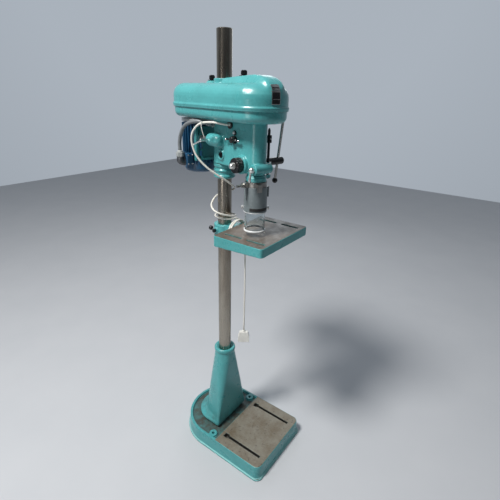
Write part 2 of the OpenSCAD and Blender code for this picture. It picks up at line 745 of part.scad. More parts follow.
lever_lean = 7.4;                 // the long arm leans to the front by this much
lever_long = 166;
lever_short = 74;
module lever_place() {
    head() translate([lever_x, feed_y, feed_z]) rotate([lever_lean, 0, 0]) children();
}
module feed_lever() {
    color(chrome) lever_place() translate([0, 0, -lever_short]) cylinder(r = 4.9, h = lever_short + lever_long);
}
module lever_balls() {
    color(black) lever_place() for (z = [-lever_short, lever_long]) difference() {
        translate([0, 0, z]) sphere(10.5);
        translate([0, 0, -lever_short]) cylinder(r = 4.9, h = lever_short + lever_long);
    }
}

module shaft_nut() {
    color(chrome) head() translate([-74.1, feed_y, feed_z]) rotate([0, -90, 0]) {
        cylinder(r = 8, h = 4, $fn = 6);
        translate([0, 0, 3.5]) intersection() {
            sphere(7);
            cylinder(r = 7, h = 7);
        }
    }
}

module quill_lock_lever() {
    color(chrome) head() translate([-47, lock_y, lock_z]) {
        along_x() cylinder(r = 5, h = 29);
        sphere(9.2);
        ball_rod([-8, -3, -34], 3.2, 4.4);
    }
}

module tension_lock_lever() {
    color(chrome) head() translate([-97, bar_y, bar_z]) {
        along_x() cylinder(r = 4, h = 37);
        sphere(6);
        ball_rod([0, 50, -20], 2.6, 4);
    }
}

module slide_bars() {
    color(steel) head() for (side = [-1, 1]) translate([side * bar_x, 2, bar_z]) along_y()
        cylinder(r = 9, h = plate_y + 10 - 2);
}

module motor_plate() {
    half = 72;
    low = 1287;
    high = 1410;
    foot = motor_y - motor_r + 2;
    color(dark_teal) head() difference() {
        union() {
            translate([-half, plate_y, low]) cube([2 * half, 8, high - low]);
            for (x = [-half, -half + 22, half - 30, half - 8]) translate([x, plate_y - 8, low]) cube([8, 9, high - low]);
            translate([-half, plate_y - 8, low]) cube([2 * half, 9, 7]);
            translate([-half, plate_y - 8, high - 7]) cube([2 * half, 9, 7]);
            for (side = [-1, 1]) translate([side * bar_x, plate_y - 8, bar_z]) along_y() cylinder(r = 15, h = 12);
        }
        for (side = [-1, 1]) {
            translate([side * bar_x, 0, bar_z]) along_y() cylinder(r = 9, h = 200);
            for (z = [low + 14, low + 42]) translate([side * 47 - 8, plate_y - 20, z]) cube([16, 40, 22]);
        }
    }
}

module motor_frame() {
    fins = 30;
    color(blue) head() translate([0, motor_y, 0]) difference() {
        union() {
            pipe(motor_r - 8, motor_r - 14, motor_z);
            for (k = [0 : fins - 1]) rotate([0, 0, 360 / fins * (k + 0.5)])
                translate([motor_r - 9, -1.2, motor_z[0] + 6]) cube([9, 2.4, motor_z[1] - motor_z[0] - 12]);
            // feet pads that bolt to the plate
            for (x = [-38, 24]) translate([x, plate_y + 8 - motor_y, 1300]) cube([14, 22, 90]);
        }
        translate([0, 0, motor_z[0] - 1]) cylinder(r = motor_r - 14, h = motor_z[1] - motor_z[0] + 2);
    }
}

module motor_top_cover() {
    z = motor_z[1];
    color(grey) head() translate([0, motor_y, 0]) difference() {
        union() {
            translate([0, 0, z]) cylinder(r = motor_r, h = 10);
            translate([0, 0, z - 8]) cylinder(r = motor_r - 14.1, h = 9);
        }
        translate([0, 0, z - 20]) cylinder(r = 8 + fit, h = 60);
    }
}

module motor_fan_cover() {
    z = motor_z[0];
    color(blue) head() translate([0, motor_y, 0]) difference() {
        rotate_extrude() polygon([
            [0, z - 30], [motor_r - 22, z - 30], [motor_r - 10, z - 24], [motor_r - 7, z - 16], [motor_r - 7, z],
            [0, z]
        ]);
        translate([0, 0, z - 26]) cylinder(r = motor_r - 13, h = 20);
        translate([0, 0, z - 8]) cylinder(r = 8 + fit, h = 20);
        for (ring = [1 : 3], k = [0 : 7]) rotate([0, 0, 45 * k + 10 * ring])
            translate([ring * 13, -3, z - 40]) cube([8, 6, 20]);
    }
}

module terminal_box() {
    color(blue) head() translate([-103, 150, 0]) {
        translate([17, -20, 1262]) cube([28, 44, 47]);
        // elbow, ring and nut that the conduit comes down into
        translate([0, 0, 1264]) cylinder(r = 14, h = 20);
        translate([0, 0, 1278]) along_x() cylinder(r = 13, h = 18);
        translate([0, 0, 1283]) cylinder(r = 12, h = 15);
        translate([0, 0, 1297]) cylinder(r = 15, h = 17, $fn = 6);
        translate([0, 0, 1313]) cylinder(r = 10, h = 7);
    }
}

module motor_rotor() {
    color(steel) head() translate([0, motor_y, 0]) {
        translate([0, 0, 1245]) cylinder(r = 8, h = 1540 - 1245);
        translate([0, 0, motor_z[0] + 30]) cylinder(r = 36, h = 95);
    }
}

module motor_fan() {
    color(black) head() translate([0, motor_y, 0]) difference() {
        union() {
            translate([0, 0, 1242]) cylinder(r = 14, h = 10);
            for (k = [0 : 7]) rotate([0, 0, 45 * k]) translate([10, -1.2, 1242]) cube([38, 2.4, 9]);
        }
        translate([0, 0, 1200]) cylinder(r = 8, h = 100);
    }
}

module motor_pulley() { color(grey) head() translate([0, motor_y, 0]) step_pulley(motor_steps, 8); }

module quill() {
    pitch = PI * rack_module;
    rack_z = [feed_z - 12, feed_z + stroke + 12];
    count = floor((rack_z[1] - rack_z[0]) / pitch / 2);
    root = rack_line - 1.3 * rack_module;
    color(chrome) at_spindle() difference() {
        union() {
            difference() {
                translate([0, 0, quill_z[0]]) cylinder(r = quill_r, h = quill_z[1] - quill_z[0]);
                translate([-rack_w / 2 - 0.5, root, rack_z[0]]) cube([rack_w + 1, 10, rack_z[1] - rack_z[0]]);
            }
            // rack teeth, one of them level with the feed shaft
            for (k = [-3 : 2 * count - 4]) translate([-rack_w / 2, 0, feed_z + k * pitch]) rotate([90, 0, 90])
                linear_extrude(rack_w) polygon([
                    [root - 1, -1.5], [root, -1.5], [rack_line + rack_module, -0.5],
                    [rack_line + rack_module, 0.5], [root, 1.5], [root - 1, 1.5]
                ]);
        }
        translate([0, 0, quill_z[0] - 1]) cylinder(r = 13, h = 200);
        translate([0, 0, quill_z[0] - 1]) cylinder(r = 18, h = 15);
        translate([0, 0, quill_z[1] - 14]) cylinder(r = 18, h = 15);
    }
}

module quill_bearings() {
    color(chrome) at_spindle() {
        pipe(18, 10 + fit, [quill_z[0], quill_z[0] + 14]);
        pipe(18, 9 + fit, [quill_z[1] - 14, quill_z[1]]);
    }
}

module depth_stop_ring() {
    z = [1252, 1273];
    color(teal) at_spindle() difference() {
        union() {
            translate([0, 0, z[0]]) cylinder(r = 36, h = z[1] - z[0] - 6);
            translate([0, 0, z[1] - 7]) cylinder(r = 33, h = 7);
            translate([25, -10, z[0] + 5]) cube([rod_x - 25, 20, 12]);
            translate([rod_x, 0, z[0] + 5]) cylinder(r = 11, h = 12);
        }
        translate([0, 0, z[0] - 1]) cylinder(r = quill_r, h = 40);
        translate([rod_x, 0, z[0] - 1]) cylinder(r = 5, h = 40);
    }
}

module depth_rod() {
    color(black) at_spindle() translate([rod_x, 0, 1254]) {
        cylinder(r = 5, h = 164);
        translate([0, 0, 164]) cylinder(r1 = 5, r2 = 2.5, h = 5);
    }
}

module depth_nuts() {
    color(black) at_spindle() translate([rod_x, 0, 0]) for (z = [nut_z, nut_z + 13]) difference() {
        translate([0, 0, z]) cylinder(r = 10, h = 11.5, $fn = 6);
        translate([0, 0, z - 1]) cylinder(r = 5 + fit, h = 20);
    }
}

module guard_clamp() {
    z = [1234, 1251];
    color(guard_grey) at_spindle() difference() {
        union() {
            translate([0, 0, z[0]]) cylinder(r = 38, h = z[1] - z[0]);
            translate([-56, -9, z[0] + 1]) cube([30, 18, 15]);
            translate([-82, 0, z[0] + 8]) along_x() cylinder(r = 4.5, h = 50);
            translate([-62, 0, z[0] + 8]) along_x() cylinder(r = 8, h = 7, $fn = 6);
            rotate([0, 0, 246]) {
                translate([34, -8, z[0] + 0.3]) cube([17, 16, 13]);
                translate([shell_r + 0.5, -8, z[0] - 12]) cube([51 - shell_r - 0.5, 16, 20]);
            }
        }
        translate([0, 0, z[0] - 1]) cylinder(r = quill_r, h = 40);
    }
}

module guard_shell() {
    color(guard_grey) at_spindle() difference() {
        union() {
            pipe(shell_r, shell_r - 2.5, shell_z);
            pipe(shell_r, quill_r, [shell_z[1] - 3, shell_z[1]]);
            // hinge knuckles, and the rod that latches the other side
            rotate([0, 0, -40]) translate([shell_r + 2, 0, 1198]) cylinder(r = 3.5, h = 36);
            rotate([0, 0, 184]) translate([shell_r + 2.5, 0, 1192]) cylinder(r = 2.5, h = 42);
        }
        for (a = [-40, 140]) rotate([0, 0, a]) translate([30, 0, 1158]) along_x() cylinder(r = 3, h = 20);
    }
}

module guard_screws() {
    color(chrome) at_spindle() for (a = [-40, 140]) rotate([0, 0, a]) translate([0, 0, 1158]) {
        translate([tube_r + 0.3, 0, 0]) along_x() cylinder(r = 3, h = 8);
        translate([shell_r + 2, 0, 0]) along_x() cylinder(r = 6, h = 6);
    }
}

module guard_tube() {
    color([0.85, 0.9, 0.92, 0.4]) at_spindle() {
        pipe(tube_r, tube_r - 2, tube_z);
        difference() {
            rotate_extrude() translate([tube_r, tube_z[0] + 3]) circle(3);
            translate([0, 0, tube_z[0] - 1]) cylinder(r = tube_r - 2, h = 20);
        }
    }
}

module spindle() {
    color(steel) at_spindle() {
        translate([0, 0, quill_z[0] + 0.3]) cylinder(r = 10, h = 145.2);
        translate([0, 0, 1376]) cylinder(r = 9, h = 134);
        for (a = [0, 180]) rotate([0, 0, a]) translate([0, -2.4, 1396]) cube([10.9, 4.8, 114]);
        translate([0, 0, 1218]) cylinder(r1 = 8.2, r2 = 9, h = 16);
        translate([0, 0, 1228.5]) cylinder(r = 12.5, h = 3.2);
    }
}

module jaw_place(k) { at_spindle() rotate([0, 0, 120 * k + 30]) translate([4.6, 0, chuck_z[0] - 3]) rotate([0, chuck_tilt, 0]) children(); }

module chuck_body() {
    color(chrome) difference() {
        at_spindle() difference() {
            union() {
                translate([0, 0, chuck_z[0]]) cylinder(r1 = 13, r2 = 17.4, h = 22);
                translate([0, 0, chuck_z[0] + 22]) cylinder(r = 17.4, h = 30);
                translate([0, 0, chuck_z[0] + 52]) cylinder(r = 21, h = 24);
            }
            translate([0, 0, 1217.9]) cylinder(r1 = 8.2, r2 = 9.05, h = 17);
            translate([0, 0, chuck_z[0] - 1]) cylinder(r = 6.8, h = 40);
        }
        for (k = [0 : 2]) jaw_place(k) translate([0, 0, -10]) cylinder(r = jaw_r + fit, h = 66);
    }
}

module chuck_sleeve() {
    color(grey) at_spindle() difference() {
        union() {
            translate([0, 0, chuck_z[0] + 23]) cylinder(r = 22, h = 28.5);
            for (k = [0 : 23]) rotate([0, 0, 15 * k]) translate([21.6, 0, chuck_z[0] + 28])
                cylinder(r = 1.2, h = 18, $fn = 8);
        }
        translate([0, 0, chuck_z[0] + 20]) cylinder(r = 17.4 + fit, h = 40);
        translate([0, 0, chuck_z[0] + 38]) cylinder(r = 19, h = 20);
    }
}

module chuck_jaw(k) { color(steel) jaw_place(k) cylinder(r = jaw_r, h = 34); }
module chuck_jaw_1() { chuck_jaw(0); }
module chuck_jaw_2() { chuck_jaw(1); }
module chuck_jaw_3() { chuck_jaw(2); }

base_plate();
pedestal();
column();
pedestal_fixings();
table_collar();
table();
table_clamp_lever();
head_collar();
head_casting();
head_clamp_bolt();
belt_guard_tray();
switch_body();
pilot_lamp();
cable_grommet();
conduit();
conduit_gland();
sleeve_bearings();
v_belt();
spring_housing();
return_spring();
mains_cord();
plug();
belt_guard_lid();
badge_plate();
lid_knob_front();
lid_knob_rear();
switch_knob();
quill_lock_lever();
tension_lock_lever();
slide_bars();
motor_plate();
motor_frame();
motor_top_cover();
motor_fan_cover();
terminal_box();
motor_rotor();
motor_fan();
motor_pulley();
drive_sleeve();
spindle_pulley();
feed_shaft();
feed_hub();
feed_lever();
lever_balls();
shaft_nut();
quill();
quill_bearings();
depth_stop_ring();
depth_rod();
guard_clamp();
guard_shell();
guard_screws();
depth_nuts();
guard_tube();
spindle();
chuck_body();
chuck_sleeve();
chuck_jaw_1();
chuck_jaw_2();
chuck_jaw_3();
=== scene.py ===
"""Looks of the floor-standing pillar drill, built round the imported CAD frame.

Metres, +Z up, -Y the operator's side.
"""
import json
import math

import bmesh
import bpy
from mathutils import Matrix, Vector

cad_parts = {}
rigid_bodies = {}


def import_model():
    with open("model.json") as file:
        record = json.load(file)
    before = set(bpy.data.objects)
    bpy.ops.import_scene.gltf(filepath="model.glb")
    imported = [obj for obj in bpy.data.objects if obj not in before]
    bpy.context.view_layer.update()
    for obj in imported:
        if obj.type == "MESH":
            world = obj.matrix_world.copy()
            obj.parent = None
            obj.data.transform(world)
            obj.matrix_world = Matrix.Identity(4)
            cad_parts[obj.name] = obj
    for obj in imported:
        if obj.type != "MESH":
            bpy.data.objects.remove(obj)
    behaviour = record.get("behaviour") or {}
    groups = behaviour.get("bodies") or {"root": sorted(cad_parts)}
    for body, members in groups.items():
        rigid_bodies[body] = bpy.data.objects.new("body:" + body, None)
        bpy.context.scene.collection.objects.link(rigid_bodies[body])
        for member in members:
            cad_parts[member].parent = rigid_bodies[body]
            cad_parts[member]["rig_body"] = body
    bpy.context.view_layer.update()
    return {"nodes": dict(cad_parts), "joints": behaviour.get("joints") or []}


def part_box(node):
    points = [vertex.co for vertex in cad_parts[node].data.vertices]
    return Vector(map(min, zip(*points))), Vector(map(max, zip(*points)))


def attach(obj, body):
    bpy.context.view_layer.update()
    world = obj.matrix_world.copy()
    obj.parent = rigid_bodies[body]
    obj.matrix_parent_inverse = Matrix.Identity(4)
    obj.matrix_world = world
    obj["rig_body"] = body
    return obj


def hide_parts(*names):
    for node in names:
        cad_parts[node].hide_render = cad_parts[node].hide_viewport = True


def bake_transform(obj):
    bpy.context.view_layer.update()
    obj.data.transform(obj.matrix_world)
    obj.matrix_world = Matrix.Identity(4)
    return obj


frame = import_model()
nodes = frame["nodes"]
joints = {j["name"]: j for j in frame["joints"]}

MM = 0.001

# ---- places, from the record ----

feed_axis = Vector(joints["feed_spin"]["axis"])
HEAD = Matrix.Rotation(math.atan2(feed_axis.y, feed_axis.x), 4, "Z")
spindle = Vector(joints["spindle_spin"]["pos_m"])


def low(node):
    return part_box(node)[0]


def high(node):
    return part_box(node)[1]


def body_of(node):
    return nodes[node]["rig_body"]


def mm(x, y, z):
    return Vector((x, y, z)) * MM


def shift(x, y, z):
    return Matrix.Translation(mm(x, y, z))


def at(x, y, z, turn=Matrix.Identity(4)):
    """Place in the head's own frame, in millimetres."""
    return HEAD @ shift(x, y, z) @ turn


ALONG_X = Matrix.Rotation(math.radians(90), 4, "Y")
ALONG_Y = Matrix.Rotation(math.radians(-90), 4, "X")
FACING_LEFT = Matrix.Rotation(math.radians(-90), 4, "Y")

# ---- camera ----

CAMERA_PLACE = (-1.0975, -0.9235, 1.533)
CAMERA_YAW, CAMERA_PITCH, CAMERA_ROLL = 54.07, -22.74, 1.52
CAMERA_LENS, CAMERA_SENSOR = 27.17, 36


def add_camera():
    data = bpy.data.cameras.new("camera")
    data.lens = CAMERA_LENS
    data.sensor_width = CAMERA_SENSOR
    camera = bpy.data.objects.new("camera", data)
    bpy.context.scene.collection.objects.link(camera)
    camera.matrix_world = (
        Matrix.Translation(CAMERA_PLACE)
        @ Matrix.Rotation(math.radians(-CAMERA_YAW), 4, "Z")
        @ Matrix.Rotation(math.radians(90 + CAMERA_PITCH), 4, "X")
        @ Matrix.Rotation(math.radians(CAMERA_ROLL), 4, "Z")
    )
    bpy.context.scene.camera = camera


add_camera()

# ---- materials ----


class Finish:
    """A material under construction: its node tree and Principled shader."""

    def __init__(self, name):
        self.material = bpy.data.materials.new(name)
        self.material.use_nodes = True
        self.tree = self.material.node_tree
        self.shader = self.tree.nodes["Principled BSDF"]
        self.place = self.node("ShaderNodeTexCoord").outputs

    def node(self, kind, inputs=None, **settings):
        made = self.tree.nodes.new(kind)
        for key, value in settings.items():
            setattr(made, key, value)
        for key, value in (inputs or {}).items():
            self.put(made.inputs[key], value)
        return made

    def put(self, socket, value):
        if isinstance(value, bpy.types.NodeSocket):
            self.tree.links.new(value, socket)
        else:
            socket.default_value = value

    def set(self, **inputs):
        for key, value in inputs.items():
            self.put(self.shader.inputs[key.replace("_", " ")], value)

    def noise(self, scale, detail=4, stretch=(1, 1, 1), rough=0.55):
        mapped = self.node("ShaderNodeMapping", {"Vector": self.place["Object"], "Scale": stretch})
        return self.node(
            "ShaderNodeTexNoise",
            {"Vector": mapped.outputs[0], "Scale": scale, "Detail": detail, "Roughness": rough},
        ).outputs["Fac"]

    def remap(self, value, a, b, low=0.0, high=1.0):
        return self.node(
            "ShaderNodeMapRange",
            {"Value": value, "From Min": a, "From Max": b, "To Min": low, "To Max": high},
        ).outputs[0]

    def mix(self, factor, a, b):
        made = self.node("ShaderNodeMix", {0: factor}, data_type="RGBA")
        for socket, value in ((made.inputs[6], a), (made.inputs[7], b)):
            self.put(socket, (*value, 1) if isinstance(value, tuple) else value)
        return made.outputs[2]

    def math(self, operation, a, b=0.0):
        return self.node("ShaderNodeMath", {0: a, 1: b}, operation=operation).outputs[0]

    def along(self, axis):
        return self.node("ShaderNodeSeparateXYZ", {0: self.place["Object"]}).outputs[axis]

    def height(self):
        return self.along("Z")

    def upward(self):
        return self.node("ShaderNodeSeparateXYZ", {0: self.place["Normal"]}).outputs["Z"]

    def edges(self, start=0.53, end=0.6):
        """1 on sharp outward edges of a dense mesh, 0 elsewhere."""
        return self.remap(self.node("ShaderNodeNewGeometry").outputs["Pointiness"], start, end)

    def bump(self, height, strength, distance=0.001, bevel=0.0):
        inputs = {"Height": height, "Strength": strength, "Distance": distance}
        if bevel:
            inputs["Normal"] = self.node("ShaderNodeBevel", {"Radius": bevel}, samples=4).outputs[0]
        self.set(Normal=self.node("ShaderNodeBump", inputs).outputs[0])


def enamel(name, color, rough=0.27, bevel=0.0, wear_and_painted_light=None, grime_and_shade=0.35, coat=0.3):
    """Brushed-on gloss enamel: faint orange peel, darker dirt in patches, thin edges lightened as painted
    highlights.
    """
    f = Finish(name)
    dark = tuple(c * 0.55 for c in color)
    light = tuple(min(1, c * 1.5 + 0.05) for c in color)
    patches = f.noise(9, 6)
    fine = f.noise(120, 3)
    base = f.mix(f.remap(patches, 0.35, 0.75, 0, grime_and_shade), color, dark)
    base = f.mix(f.remap(fine, 0.5, 0.9, 0, 0.25), base, light)
    # painted highlight: sharp outward edges lightened towards a paler teal
    if not bevel:
        base = f.mix(f.math("MULTIPLY", f.edges(), 0.65), base, light)
    specks = f.remap(f.noise(310, 2), 0.72, 0.75)
    base = f.mix(f.math("MULTIPLY", specks, 0.55), base, (0.05, 0.045, 0.04))
    roughness = f.remap(f.noise(22, 5), 0.3, 0.7, rough * 0.75, rough * 1.7)
    if wear_and_painted_light:
        base, roughness = wear_and_painted_light(f, base, roughness)
    f.set(Base_Color=base, Roughness=roughness, Coat_Weight=coat, Coat_Roughness=0.22)
    f.bump(f.noise(160, 3), 0.12, 0.0006, bevel)
    return f.material


def bare_iron(f, base, roughness, mask, color):
    """Machined iron, browned and scratched, where mask is 1."""
    blotch = f.noise(14, 7, rough=0.65)
    scratch = f.noise(60, 5, stretch=(9, 1, 1))
    brown = (color[0] * 0.62, color[1] * 0.52, color[2] * 0.42)
    iron = f.mix(f.remap(blotch, 0.38, 0.66), color, brown)
    iron = f.mix(f.remap(scratch, 0.48, 0.8, 0, 0.5), iron, tuple(c * 1.45 for c in color))
    iron = f.mix(f.remap(f.noise(90, 4), 0.62, 0.68, 0, 0.7), iron, (0.05, 0.042, 0.034))
    return f.mix(mask, base, iron), f.math("ADD", f.math("MULTIPLY", mask, 0.16), roughness)


def band(f, coordinate, a, b, soft=0.4 * MM):
    """1 where a coordinate is between a and b."""
    rise = f.remap(coordinate, a, a + soft)
    return f.math("MULTIPLY", rise, f.remap(coordinate, b, b + soft, 1, 0))


def all_of(f, *masks):
    """Product of masks."""
    made = masks[0]
    for mask in masks[1:]:
        made = f.math("MULTIPLY", made, mask)
    return made


def but_not(f, mask, other):
    return f.math("MULTIPLY", mask, f.math("SUBTRACT", 1.0, other))


def at_top(f, top):
    """1 at the height of a machined face, 0 on what is lower."""
    return f.remap(f.height(), top - 0.6 * MM, top - 0.25 * MM)


def in_slots(f, x, y):
    """1 over two slots, one each side of the middle."""
    across = f.math("ABSOLUTE", f.along("X"))
    return all_of(f, band(f, across, *x), band(f, f.along("Y"), *y))


# where wear, painted shade and painted highlights start and stop on the castings, as the design has them
TABLE_SLOT_X, TABLE_SLOT_Y = (104 * MM, 121 * MM), (-273 * MM, -94 * MM)
BASE_SLOT_X, BASE_SLOT_Y = (104 * MM, 127 * MM), (-296 * MM, -96 * MM)
BASE_FACE_ENDS_Y = (-81.5 * MM, -79.5 * MM)
BASE_BEAD_Z = (5 * MM, 11 * MM)
FOOT_GRIME_Z = (60 * MM, 150 * MM)
RING_R = (41 * MM, 44 * MM)


def table_wear_and_shade(f, base, roughness):
    top = high("table")[2]
    mask = all_of(f, at_top(f, top), f.remap(f.upward(), 0.75, 0.9))
    base, roughness = bare_iron(f, base, roughness, mask, (0.125, 0.112, 0.092))
    streak = f.noise(26, 6, (1, 9, 1), 0.7)
    streaks = all_of(f, mask, f.remap(streak, 0.42, 0.62, 0, 0.8))
    base = f.mix(streaks, base, (0.055, 0.042, 0.032))
    rust = all_of(f, mask, f.remap(f.noise(5, 5), 0.5, 0.7, 0, 0.35))
    base = f.mix(rust, base, (0.17, 0.10, 0.06))
    # slots: their walls darkened in patches, painted shade
    shaded_slot_walls = but_not(f, in_slots(f, TABLE_SLOT_X, TABLE_SLOT_Y), mask)
    grime_and_shade = all_of(f, shaded_slot_walls, f.remap(f.noise(40, 5), 0.3, 0.6, 0.35, 0.85))
    base = f.mix(grime_and_shade, base, (0.085, 0.10, 0.085))
    # faint lighter ring round the spindle's line
    middle = (spindle.x - 8 * MM, spindle.y - 6 * MM, top)
    off = f.node(
        "ShaderNodeVectorMath", {0: f.place["Object"], 1: middle}, operation="DISTANCE"
    ).outputs["Value"]
    ring = all_of(f, band(f, off, *RING_R, 1.5 * MM), f.remap(f.noise(30, 4), 0.4, 0.6, 0.1, 0.6), mask)
    return f.mix(ring, base, (0.24, 0.225, 0.19)), roughness


def base_wear_shade_and_highlight(f, base, roughness):
    top = high("base_plate")[2]
    front = f.remap(f.along("Y"), *BASE_FACE_ENDS_Y, 1, 0)
    up = f.remap(f.upward(), 0.75, 0.9)
    mask = all_of(f, at_top(f, top), up, front)
    base, roughness = bare_iron(f, base, roughness, mask, (0.21, 0.195, 0.155))
    # painted shade: everything in the slots below the machined face set near black
    slots = but_not(f, in_slots(f, BASE_SLOT_X, BASE_SLOT_Y), mask)
    base = f.mix(slots, base, (0.03, 0.028, 0.023))
    # painted highlight: the up-facing flange bead lightened to pale mint
    bead_highlight = all_of(f, band(f, f.height(), *BASE_BEAD_Z, 1 * MM), f.remap(f.upward(), 0.25, 0.7, 0, 0.65))
    base = f.mix(bead_highlight, base, (0.42, 0.80, 0.78))
    # oil and swarf dust lying on the sunk floor and on the foot's ledge
    sunk = f.math("MULTIPLY", up, f.remap(f.height(), top - 4 * MM, top - 3 * MM, 1, 0))
    dirt = f.math("MULTIPLY", sunk, f.remap(f.noise(24, 7, rough=0.7), 0.28, 0.55, 0.45, 0.96))
    return f.mix(dirt, base, (0.055, 0.05, 0.038)), f.math("ADD", f.math("MULTIPLY", dirt, 0.3), roughness)


def foot_wear(f, base, roughness):
    """Grime that has run down and gathered low on the pedestal."""
    low_down = f.remap(f.height(), *FOOT_GRIME_Z, 1, 0)
    dirt = f.math("MULTIPLY", low_down, f.remap(f.noise(22, 7, (1, 1, 0.4), 0.7), 0.42, 0.66, 0, 0.8))
    return f.mix(dirt, base, (0.06, 0.075, 0.06)), f.math("ADD", f.math("MULTIPLY", dirt, 0.3), roughness)


def metal(name, color, rough, stretch=(1, 1, 1), scale=70, stain=None, bevel=0.4 * MM, amount=0.35):
    """Bare or plated metal with tool marks drawn out along stretch."""
    f = Finish(name)
    marks = f.noise(scale, 5, stretch)
    base = f.mix(f.remap(marks, 0.3, 0.75, 0, amount), color, tuple(c * 0.5 for c in color))
    if stain:
        base = f.mix(f.remap(f.noise(7, 6, (1, 1, 0.35)), 0.42, 0.72, 0, 0.75), base, stain)
    f.set(Base_Color=base, Roughness=f.remap(marks, 0.25, 0.75, rough * 0.7, rough * 1.5), Metallic=1.0)
    f.bump(marks, 0.12, 0.0004, bevel)
    return f.material


def plastic(name, color, rough, grain=240, bevel=0.5 * MM, dust=0.15):
    """Moulded plastic with a fine grain and a little dust on what faces up."""
    f = Finish(name)
    base = f.mix(f.remap(f.noise(18, 5), 0.4, 0.8, 0, 0.3), color, tuple(c * 0.7 for c in color))
    base = f.mix(f.remap(f.upward(), 0.6, 1.0, 0, dust), base, (0.32, 0.31, 0.28))
    f.set(Base_Color=base, Roughness=f.remap(f.noise(40, 4), 0.3, 0.7, rough * 0.8, rough * 1.3))
    f.bump(f.noise(grain, 3), 0.1, 0.0003, bevel)
    return f.material


def clear(name):
    """Clear acrylic, a little scuffed along its length."""
    f = Finish(name)
    haze = f.noise(45, 5, (1, 1, 3))
    f.set(
        Base_Color=f.mix(f.remap(haze, 0.45, 0.75, 0, 0.5), (0.90, 0.95, 0.96), (0.74, 0.80, 0.82)),
        Roughness=f.remap(haze, 0.4, 0.8, 0.02, 0.16),
        Transmission_Weight=1.0,
        IOR=1.49,
    )
    f.bump(haze, 0.04, 0.0004)
    return f.material


TEAL = (0.072, 0.35, 0.36)
teal = enamel("teal_enamel", TEAL)
teal_foot = enamel("teal_pedestal", TEAL, wear_and_painted_light=foot_wear, coat=0.15)
teal_base = enamel("teal_base", TEAL, wear_and_painted_light=base_wear_shade_and_highlight, grime_and_shade=0.5, coat=0.1)
teal_table = enamel("teal_table", TEAL, wear_and_painted_light=table_wear_and_shade, coat=0.1)
motor_teal = enamel("motor_plate_enamel", (0.035, 0.22, 0.235), 0.35, bevel=0.8 * MM)
guard_paint = enamel("guard_enamel", (0.17, 0.205, 0.215), 0.42, bevel=0.5 * MM, grime_and_shade=0.7)
blue = enamel("motor_blue", (0.006, 0.07, 0.155), 0.38, bevel=0.5 * MM, grime_and_shade=0.5)
steel = metal("column_steel", (0.40, 0.365, 0.31), 0.24, (6, 6, 0.12), 55, stain=(0.13, 0.09, 0.06))
bright = metal("turned_steel", (0.56, 0.56, 0.55), 0.3, (1, 1, 14))
chrome = metal("chrome", (0.82, 0.82, 0.83), 0.1, amount=0.12)
dull_chrome = metal("dull_chrome", (0.50, 0.49, 0.47), 0.28, amount=0.5)
dark_steel = metal("blackened_steel", (0.06, 0.06, 0.065), 0.4, amount=0.6)
cast_metal = metal("cast_gland", (0.16, 0.165, 0.175), 0.42, amount=0.6)
clamp_metal = metal("clamp_metal", (0.36, 0.35, 0.33), 0.36, stain=(0.11, 0.08, 0.06))
alloy = metal("alloy", (0.62, 0.63, 0.64), 0.38, (1, 1, 12))
black = plastic("black_phenolic", (0.012, 0.012, 0.013), 0.2)
black_rubber = plastic("black_rubber", (0.016, 0.016, 0.016), 0.6)
grey = plastic("grey_conduit", (0.17, 0.185, 0.195), 0.45, bevel=0)
pale = plastic("pale_gland", (0.34, 0.36, 0.36), 0.4)
nickel = metal("nickel", (0.86, 0.86, 0.84), 0.3, amount=0.25)
frosted = plastic("frosted_rim", (0.80, 0.82, 0.82), 0.25, bevel=0)
pvc = plastic("white_sheath", (0.76, 0.74, 0.68), 0.38, bevel=0)
white = plastic("white_plug", (0.78, 0.77, 0.72), 0.3, bevel=0)
lens = plastic("lamp_lens", (0.66, 0.70, 0.70), 0.08, bevel=0)
acrylic = clear("clear_acrylic")


# ---- making pieces ----


def add(name, mesh, material, body, node=None, smooth=True):
    """Links a mesh as a piece on a body. With node, it stands for that CAD node."""
    piece = bpy.data.objects.new(name, mesh)
    bpy.context.scene.collection.objects.link(piece)
    mesh.materials.clear()
    mesh.materials.append(material)
    for face in mesh.polygons:
        face.use_smooth = smooth
    if body:
        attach(piece, body)
    if node:
        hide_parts(node)
    return piece


def finished(bm, matrix=None):
    mesh = bpy.data.meshes.new("piece")
    bmesh.ops.recalc_face_normals(bm, faces=bm.faces)
    bm.to_mesh(mesh)
    bm.free()
    if matrix:
        mesh.transform(matrix)
    return mesh


def lathe(profile, matrix=Matrix.Identity(4), sides=48):
    """Mesh turned about Z from (radius, height) points, closed where the radius is 0."""
    bm = bmesh.new()
    rings = []
    for radius, z in profile:
        if radius < 1e-6:
            rings.append([bm.verts.new((0, 0, z))])
            continue
        turn = [2 * math.pi * k / sides for k in range(sides)]
        rings.append([bm.verts.new((radius * math.cos(a), radius * math.sin(a), z)) for a in turn])
    for a, b in zip(rings, rings[1:]):
        for k in range(sides):
            m = (k + 1) % sides
            corners = [a[k % len(a)], a[m % len(a)], b[m % len(b)], b[k % len(b)]]
            corners = list(dict.fromkeys(corners))
            if len(corners) > 2:
                bm.faces.new(corners)
    return finished(bm, matrix)


def tube(path, radius, sides=14):
    """Mesh tube along a path; radius is a number or a function of the share of the way along."""
    bm = bmesh.new()
    path = [Vector(p) for p in path]
    count = len(path)
    side = None
    rings = []
    for k, point in enumerate(path):
        along = (path[min(k + 1, count - 1)] - path[max(k - 1, 0)]).normalized()
        if side is None:
            side = along.orthogonal().normalized()
        side = (side - along * side.dot(along)).normalized()
        other = along.cross(side)
        r = radius(k / (count - 1)) if callable(radius) else radius
        rings.append([
            bm.verts.new(point + r * (math.cos(a) * side + math.sin(a) * other))
            for a in (2 * math.pi * j / sides for j in range(sides))
        ])
    for a, b in zip(rings, rings[1:]):
        for j in range(sides):
            m = (j + 1) % sides
            bm.faces.new((a[j], a[m], b[m], b[j]))
    bm.faces.new(rings[0])
    bm.faces.new(rings[-1])
    return finished(bm)


